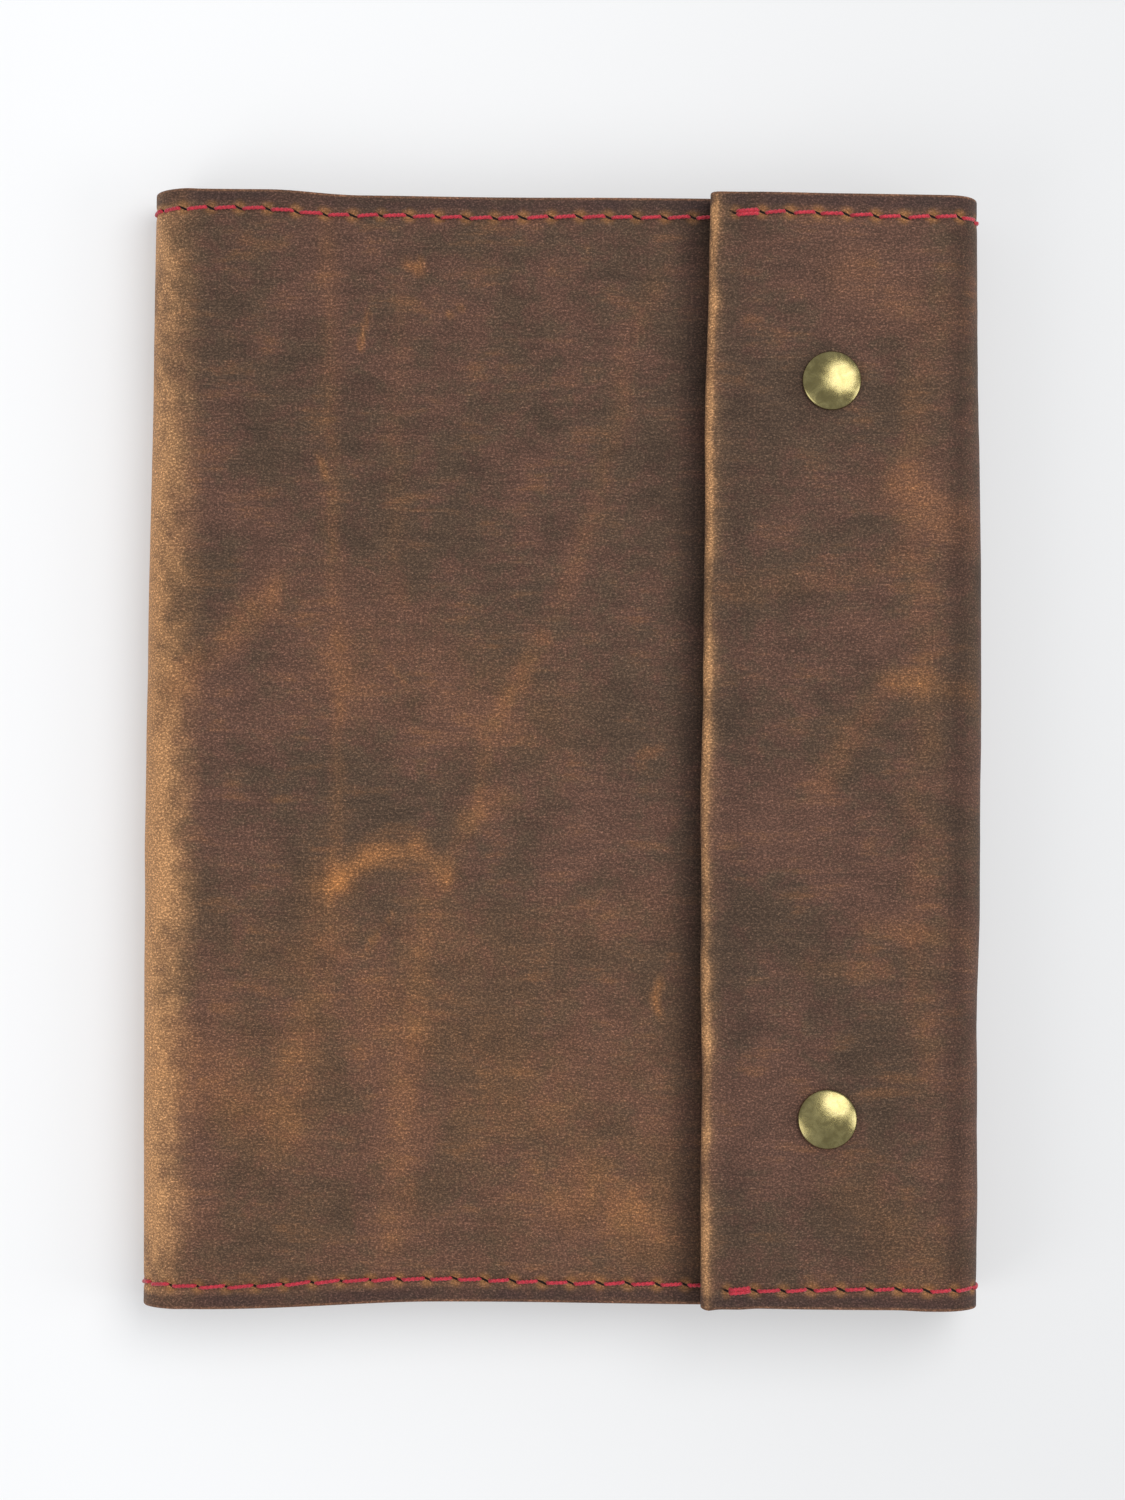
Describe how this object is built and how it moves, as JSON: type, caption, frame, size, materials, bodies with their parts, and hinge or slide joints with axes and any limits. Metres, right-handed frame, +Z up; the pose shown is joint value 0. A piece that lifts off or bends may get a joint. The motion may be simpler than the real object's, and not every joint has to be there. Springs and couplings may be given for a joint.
{
  "type": "leather notebook cover",
  "caption": "Filled wrap-around leather notebook cover with sewn edges and a front flap held by domed spring snaps.",
  "frame": {"origin": "middle of the underside of the closed cover, on the surface it lies on", "axes": "+X from the spine to the fore-edge, +Y along the spine towards the head, +Z up through the front"},
  "size_m": [0.176, 0.233, 0.0278],
  "materials": {
    "cover_leather": "waxed, matte, rubbed",
    "lining_leather": "matte",
    "thread": "waxed thread",
    "antique_brass": "antiqued, satin",
    "spring_steel": "satin",
    "bookboard": "cloth-covered board",
    "pages": "paper"
  },
  "bodies": {
    "back_cover": {"back_leather": "cover_leather", "back_pocket": "lining_leather", "back_stitches": "thread", "notebook_back_board": "bookboard", "page_block": "pages"},
    "spine": {"spine_leather": "cover_leather", "spine_lining": "lining_leather", "spine_stitches": "thread", "notebook_spine_strip": "bookboard"},
    "front_cover": {"front_leather": "cover_leather", "front_pocket": "lining_leather", "front_stitches": "thread", "notebook_front_board": "bookboard", "upper_snap_stud": "antique_brass", "upper_snap_post": "antique_brass", "lower_snap_stud": "antique_brass", "lower_snap_post": "antique_brass"},
    "fore_edge": {"fore_edge_leather": "cover_leather", "fore_edge_lining": "lining_leather", "fore_edge_stitches": "thread"},
    "flap": {"flap_leather": "cover_leather", "flap_lining": "lining_leather", "flap_stitches": "thread", "upper_snap_cap": "antique_brass", "upper_snap_socket": "antique_brass", "upper_snap_spring": "spring_steel", "lower_snap_cap": "antique_brass", "lower_snap_socket": "antique_brass", "lower_snap_spring": "spring_steel"}
  },
  "joints": [
    {"name": "spine_fold", "type": "hinge", "parent": "back_cover", "child": "spine", "pos_m": [-0.088, 0, 0], "axis": [0, -1, 0], "range_deg": [0, 89]},
    {"name": "front_fold", "type": "hinge", "parent": "spine", "child": "front_cover", "pos_m": [-0.088, 0, 0.01985], "axis": [0, -1, 0], "range_deg": [0, 89]},
    {"name": "fore_edge_fold", "type": "hinge", "parent": "back_cover", "child": "fore_edge", "pos_m": [0.088, 0, 0], "axis": [0, 1, 0], "range_deg": [0, 88]},
    {"name": "flap_fold", "type": "hinge", "parent": "fore_edge", "child": "flap", "pos_m": [0.088, 0, 0.02585], "axis": [0, 1, 0], "range_deg": [0, 88]}
  ],
  "couplings": [
    {"joint": "front_fold", "follows": "spine_fold", "ratio": 1},
    {"joint": "fore_edge_fold", "follows": "flap_fold", "ratio": 1}
  ]
}
